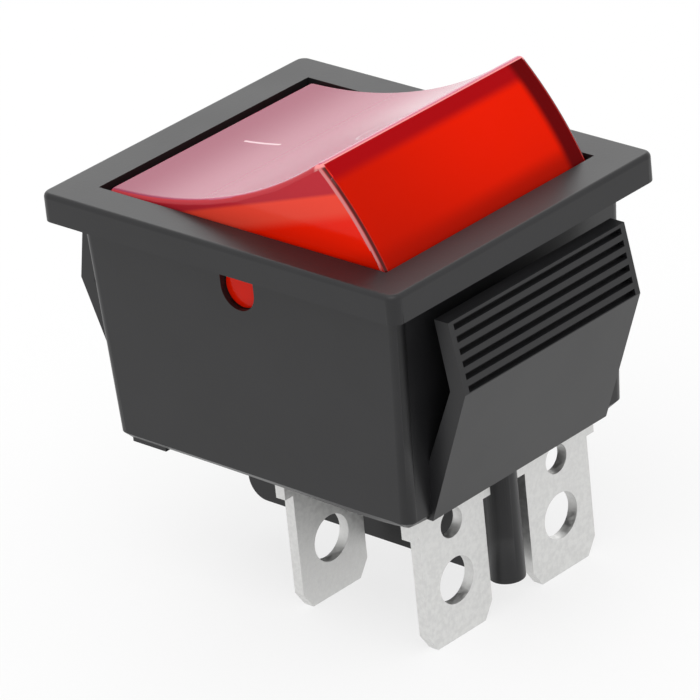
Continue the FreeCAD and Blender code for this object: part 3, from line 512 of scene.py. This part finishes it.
def make_lens_end(finish, rocker):
    """End faces: glowing red, dark where the roof and the far wall show through, with painted shade
    towards the -Y side and towards the foot.
    """
    material, nodes, links, shader, bands = make_lens_material(
        "lens_red_end", finish, rocker, roughness=0.12, specular=0.02)
    glow = tuple(finish.glow_color)
    deep = tuple(finish.body_color)
    # Painted shade: the end faces darken towards the -Y side.
    color = blend(nodes, links, bands["Near"], glow, tint(glow, NEAR_SHADE_TINT))
    # Painted shade: the end faces darken towards the foot.
    color = blend(nodes, links, bands["Foot"], color, tint(glow, END_FOOT_SHADE_TINT))
    color = blend(nodes, links, bands["Ridge"], color, tint(deep, RIDGE_TINT))
    color = blend(nodes, links, bands["Far Wall"], color, tint(deep, FAR_WALL_TINT))
    links.new(color, shader.inputs["Base Color"])
    return material


def make_lens_side(finish, rocker):
    """Side faces: crimson roof, a light band under it, a red painted lighter than the end faces,
    and a deeper red below from painted shade.
    """
    material, nodes, links, shader, bands = make_lens_material(
        "lens_red_side", finish, rocker, roughness=0.12, specular=0.08)
    # Painted light: the side faces are a lighter copy of the end faces' red.
    glow = tint(tuple(finish.glow_color), SIDE_PAINTED_LIGHT_TINT)
    color = blend(nodes, links, bands["Shine"], glow, tuple(finish.shine_color))
    color = blend(nodes, links, bands["Roof"], color, tuple(finish.roof_color))
    # Painted shade: the side faces darken towards the foot.
    color = blend(nodes, links, bands["Foot"], color, tint(glow, SIDE_FOOT_SHADE_TINT))
    links.new(color, shader.inputs["Base Color"])
    return material


def make_lens_rim(finish, rocker):
    """Rounded edges of the rocker, with a painted highlight along one end and a dark seam beside
    them.
    """
    material, nodes, links, shader, bands = make_lens_material(
        "lens_red_rim", finish, rocker, roughness=0.12, specular=0.2)
    rim = tuple(finish.rim_color)
    glow = tuple(finish.glow_color)
    # Painted highlight: past the crest the rounded edges are light, dimmer near the sides and full
    # at the lip of the ridge; before it they take the roof's crimson.
    color = blend(nodes, links, bands["Edge"], glow, tint(rim, EDGE_HIGHLIGHT_TINT))
    color = blend(nodes, links, bands["Seam"], color, tint(glow, SEAM_TINT))
    color = blend(nodes, links, bands["Lip"], color, rim)
    color = blend(nodes, links, bands["Crest"], tuple(finish.roof_color), color)
    links.new(color, shader.inputs["Base Color"])
    return material


def make_metal(name, color, roughness, grain_size, grain_depth):
    """Plated or bare metal with a fine grain and a coarser mottle between two roughnesses."""
    material, nodes, links, shader = new_material(name)
    grain = place_group(nodes, grain_group(), Size=grain_size)
    mottle = place_group(nodes, grain_group(), Size=grain_size * MOTTLE_SIZE)
    patches = step(nodes, links, mottle.outputs["Height"], *MOTTLE_RANGE)
    dark, light = (tint(color, factor) for factor in MOTTLE_TINTS)
    links.new(blend(nodes, links, patches, dark, light), shader.inputs["Base Color"])
    links.new(span(nodes, links, patches, *roughness), shader.inputs["Roughness"])
    shader.inputs["Metallic"].default_value = 1.0
    bump(nodes, links, grain.outputs["Height"], grain_depth, shader)
    return material


def make_glass():
    """Clear glass of the lamp."""
    material, _, _, shader = new_material("lamp_glass")
    shader.inputs["Base Color"].default_value = (1.0, 0.93, 0.88, 1.0)
    shader.inputs["Roughness"].default_value = 0.03
    shader.inputs["IOR"].default_value = 1.5
    shader.inputs["Transmission Weight"].default_value = 1.0
    return material


def make_lacquer(finish):
    """Lacquered ceramic of the resistor."""
    material, nodes, links, shader = new_material("resistor_body")
    grain = place_group(nodes, grain_group(), Size=finish.grain_size)
    color = tuple(finish.lacquer_color)
    links.new(blend(nodes, links, grain.outputs["Cloud"], tint(color, 0.85), tint(color, 1.1)),
              shader.inputs["Base Color"])
    shader.inputs["Roughness"].default_value = 0.35
    return material


# Pieces.

def assign(node_name, material):
    """Gives a CAD node one material in its slot."""
    piece = frame["nodes"][node_name]
    piece.data.materials.clear()
    piece.data.materials.append(material)


def merged_copy(node_name):
    """A node's shape as a bmesh, its loose triangles merged into whole faces."""
    shape = bmesh.new()
    shape.from_mesh(frame["nodes"][node_name].data)
    bmesh.ops.remove_doubles(shape, verts=shape.verts, dist=MERGE)
    bmesh.ops.dissolve_limit(shape, angle_limit=FLAT_ANGLE, verts=shape.verts,
                             edges=shape.edges)
    return shape


def soften(shape, width, shortest, edges):
    """Rounds the sharp outer edges of a shape that are longer than the shortest."""
    sharp = [edge for edge in shape.edges
             if len(edge.link_faces) == 2 and edge.is_convex
             and edge.calc_face_angle() > edges.sharp and edge.calc_length() > shortest]
    bmesh.ops.bevel(shape, geom=sharp, offset=width, offset_type="OFFSET", affect="EDGES",
                    segments=edges.segments, profile=0.5, material=-1, clamp_overlap=True)


def finish_piece(shape, name, body, node_name, materials):
    """Makes the shape a piece that stands for a node and rides on its body."""
    mesh = bpy.data.meshes.new(name)
    shape.to_mesh(mesh)
    shape.free()
    for material in materials:
        mesh.materials.append(material)
    mesh.shade_smooth()
    mesh.set_sharp_from_angle(angle=SMOOTH_ANGLE)
    piece = bpy.data.objects.new(name, mesh)
    bpy.context.scene.collection.objects.link(piece)
    weighted = piece.modifiers.new("weighted_normals", "WEIGHTED_NORMAL")
    weighted.keep_sharp = True
    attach(piece, body)
    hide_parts(node_name)
    return piece


class SWITCH_OT_housing(bpy.types.Operator):
    """Makes the moulded housing with its softened edges and black plastic"""

    bl_idname = "switch.housing"
    bl_label = "Housing"

    def execute(self, context):
        edges = context.scene.switch_edges
        shape = merged_copy("housing")
        soften(shape, edges.moulded, edges.shortest, edges)
        finish_piece(shape, "housing_moulding", "housing", "housing",
                     [make_black_plastic(context.scene.switch_finish)])
        return {"FINISHED"}


class SWITCH_OT_rocker(bpy.types.Operator):
    """Makes the rocker, with a material each for its top, ends, sides and rounded edges"""

    bl_idname = "switch.rocker"
    bl_label = "Rocker"

    # Parts of a face's normal, in the rocker's level frame, that tell its faces apart.
    TOP_UP = 0.8
    SIDE_ACROSS = 0.99
    END_ACROSS = 0.15
    END_UP = 0.55
    RIM_UP = 0.05

    def execute(self, context):
        rocker = context.scene.switch_rocker
        finish = context.scene.switch_finish
        shape = merged_copy("rocker_lens")
        turn = LEVEL.to_3x3()
        for face in shape.faces:
            face.material_index = self.side_of(turn @ face.normal,
                                               LEVEL @ face.calc_center_median())
        finish_piece(shape, "rocker_moulding", "rocker", "rocker_lens",
                     [make_lens_end(finish, rocker), make_lens_top(finish, rocker),
                      make_lens_side(finish, rocker), make_lens_rim(finish, rocker)])
        return {"FINISHED"}

    def side_of(self, normal, centre):
        """Which of the four materials a face gets, by its normal in the rocker's level frame."""
        end, top, side, rim = range(4)
        outward = normal.x * centre.x > 0
        if normal.z > self.TOP_UP:
            return top
        if abs(normal.y) > self.SIDE_ACROSS:
            return side
        if abs(normal.y) < self.END_ACROSS and normal.z < self.END_UP and outward:
            return end
        if normal.z > self.RIM_UP and centre.z > 0:
            return rim
        return end


class SWITCH_OT_terminals(bpy.types.Operator):
    """Makes the four tin-plated terminals with their sheared edges"""

    bl_idname = "switch.terminals"
    bl_label = "Terminals"

    def execute(self, context):
        edges = context.scene.switch_edges
        finish = context.scene.switch_finish
        tin = make_metal("terminal_tin", tuple(finish.tin_color), roughness=(0.46, 0.66),
                         grain_size=0.14 * MM, grain_depth=0.006 * MM)
        for kind in ("common", "load"):
            for pole in POLES:
                node_name = f"terminal_{kind}_{pole}"
                shape = merged_copy(node_name)
                soften(shape, edges.sheared, edges.shortest_sheared, edges)
                finish_piece(shape, f"tab_{kind}_{pole}", "housing", node_name,
                             [tin])
        return {"FINISHED"}


class SWITCH_OT_contacts(bpy.types.Operator):
    """Gives the blades, contacts, plungers and springs their metals"""

    bl_idname = "switch.contacts"
    bl_label = "Contacts"

    def execute(self, context):
        finish = context.scene.switch_finish
        brass = make_metal("blade_brass", tuple(finish.brass_color), roughness=(0.28, 0.4),
                           grain_size=0.2 * MM, grain_depth=0.002 * MM)
        turned = make_metal("plunger_brass", tint(tuple(finish.brass_color), 1.08),
                            roughness=(0.18, 0.3), grain_size=0.1 * MM,
                            grain_depth=0.001 * MM)
        silver = make_metal("contact_silver", tuple(finish.silver_color),
                            roughness=(0.24, 0.36), grain_size=0.1 * MM,
                            grain_depth=0.001 * MM)
        steel = make_metal("spring_steel", tuple(finish.steel_color), roughness=(0.2, 0.32),
                           grain_size=0.1 * MM, grain_depth=0.001 * MM)
        for pole in POLES:
            assign(f"contact_blade_{pole}", brass)
            assign(f"plunger_{pole}", turned)
            assign(f"fixed_contact_{pole}", silver)
            assign(f"moving_contact_{pole}", silver)
            assign(f"plunger_spring_{pole}", steel)
        return {"FINISHED"}


class SWITCH_OT_lamp(bpy.types.Operator):
    """Gives the lamp, its resistor and its leads their finishes"""

    bl_idname = "switch.lamp"
    bl_label = "Lamp"

    def execute(self, context):
        finish = context.scene.switch_finish
        wire = make_metal("lead_wire", tint(tuple(finish.steel_color), 1.2),
                          roughness=(0.22, 0.34), grain_size=0.1 * MM,
                          grain_depth=0.001 * MM)
        assign("neon_lamp", make_glass())
        assign("lamp_resistor", make_lacquer(finish))
        for pole in POLES:
            assign(f"lamp_lead_{pole}", wire)
        return {"FINISHED"}


class SWITCH_OT_stage(bpy.types.Operator):
    """Makes the floor, the light and the camera"""

    bl_idname = "switch.stage"
    bl_label = "Studio"

    def execute(self, context):
        scene = context.scene
        studio = scene.switch_studio
        scene.view_settings.view_transform = "Standard"
        self.make_floor(scene, studio)
        self.make_surround(scene, studio)
        self.make_light(scene, "key_light", studio.key_power, studio.key_size,
                        studio.key_place)
        self.make_light(scene, "back_light", studio.back_power, studio.back_size,
                        studio.back_place)
        self.make_camera(scene, studio)
        return {"FINISHED"}

    def make_floor(self, scene, studio):
        """A pale floor that shows close to white and keeps the part's shadow."""
        mesh = bpy.data.meshes.new("studio_floor")
        shape = bmesh.new()
        bmesh.ops.create_grid(shape, x_segments=1, y_segments=1, size=studio.floor_size)
        bmesh.ops.translate(shape, verts=shape.verts, vec=(0, 0, CAD_BOX[0][2]))
        shape.to_mesh(mesh)
        shape.free()
        floor = bpy.data.objects.new("studio_floor", mesh)
        scene.collection.objects.link(floor)
        material, nodes, links, shader = new_material("studio_floor")
        shader.inputs["Base Color"].default_value = (*studio.floor_color, 1.0)
        shader.inputs["Roughness"].default_value = 0.9
        plain = nodes.new("ShaderNodeEmission")
        mix = nodes.new("ShaderNodeMixShader")
        seen = calculate(nodes, links, "MULTIPLY", self.seen_directly(nodes, links),
                         studio.floor_glow)
        links.new(seen, mix.inputs["Fac"])
        links.new(shader.outputs["BSDF"], mix.inputs[1])
        links.new(plain.outputs["Emission"], mix.inputs[2])
        output = next(node for node in nodes if node.type == "OUTPUT_MATERIAL")
        links.new(mix.outputs[0], output.inputs["Surface"])
        floor.data.materials.append(material)

    def seen_directly(self, nodes, links):
        """1 for rays that come from the camera, from a reflection or through glass."""
        path = nodes.new("ShaderNodeLightPath")
        seen = calculate(nodes, links, "MAXIMUM", path.outputs["Is Camera Ray"],
                         path.outputs["Is Transmission Ray"])
        return calculate(nodes, links, "MAXIMUM", seen, path.outputs["Is Glossy Ray"])

    def make_surround(self, scene, studio):
        """A world that lights the part softly and shows white itself."""
        world = bpy.data.worlds.new("studio_surround")
        world.use_nodes = True
        nodes = world.node_tree.nodes
        links = world.node_tree.links
        nodes.clear()
        seen = self.seen_directly(nodes, links)
        lamp = nodes.new("ShaderNodeBackground")
        lamp.inputs["Strength"].default_value = studio.surround
        plain = nodes.new("ShaderNodeBackground")
        for node in (lamp, plain):
            node.inputs["Color"].default_value = (1.0, 1.0, 1.0, 1.0)
        mix = nodes.new("ShaderNodeMixShader")
        links.new(seen, mix.inputs["Fac"])
        links.new(lamp.outputs[0], mix.inputs[1])
        links.new(plain.outputs[0], mix.inputs[2])
        output = nodes.new("ShaderNodeOutputWorld")
        links.new(mix.outputs[0], output.inputs["Surface"])
        scene.world = world

    def make_light(self, scene, name, power, size, place):
        """A square soft light that faces the part."""
        light = bpy.data.lights.new(name, "AREA")
        light.energy = power
        light.size = size
        holder = bpy.data.objects.new(name, light)
        holder.location = place
        holder.rotation_euler = (-holder.location).to_track_quat("-Z", "Y").to_euler()
        scene.collection.objects.link(holder)

    def make_camera(self, scene, studio):
        """The camera at the photograph's angle."""
        camera = bpy.data.cameras.new("camera")
        camera.lens = studio.focal_length
        camera.clip_start = 0.01
        holder = bpy.data.objects.new("camera", camera)
        back = Vector((math.sin(studio.azimuth) * math.cos(studio.elevation),
                       -math.cos(studio.azimuth) * math.cos(studio.elevation),
                       math.sin(studio.elevation)))
        turn = back.to_track_quat("Z", "Y").to_matrix() @ Matrix.Rotation(-studio.roll, 3, "Z")
        holder.matrix_world = (Matrix.Translation(Vector(studio.aim) + back * studio.distance)
                               @ turn.to_4x4())
        scene.collection.objects.link(holder)
        scene.camera = holder


class SWITCH_PT_panel(bpy.types.Panel):
    """Lists the steps that dress the switch"""

    bl_idname = "SWITCH_PT_panel"
    bl_label = "Rocker Switch"
    bl_space_type = "VIEW_3D"
    bl_region_type = "UI"
    bl_category = "Switch"

    def draw(self, context):
        column = self.layout.column(align=True)
        for operator in OPERATORS:
            column.operator(operator.bl_idname)


GROUPS = {"switch_rocker": RockerSettings, "switch_edges": EdgeSettings,
          "switch_studio": StudioSettings, "switch_finish": FinishSettings}
OPERATORS = (SWITCH_OT_housing, SWITCH_OT_rocker, SWITCH_OT_terminals, SWITCH_OT_contacts,
             SWITCH_OT_lamp, SWITCH_OT_stage)
CLASSES = (*GROUPS.values(), *OPERATORS, SWITCH_PT_panel)


def register():
    for item in CLASSES:
        bpy.utils.register_class(item)
    for name, group in GROUPS.items():
        setattr(bpy.types.Scene, name, PointerProperty(type=group))


def unregister():
    for name in GROUPS:
        delattr(bpy.types.Scene, name)
    for item in reversed(CLASSES):
        bpy.utils.unregister_class(item)


def main():
    register()
    bpy.ops.switch.housing()
    bpy.ops.switch.rocker()
    bpy.ops.switch.terminals()
    bpy.ops.switch.contacts()
    bpy.ops.switch.lamp()
    bpy.ops.switch.stage()


if __name__ == "__main__":
    main()
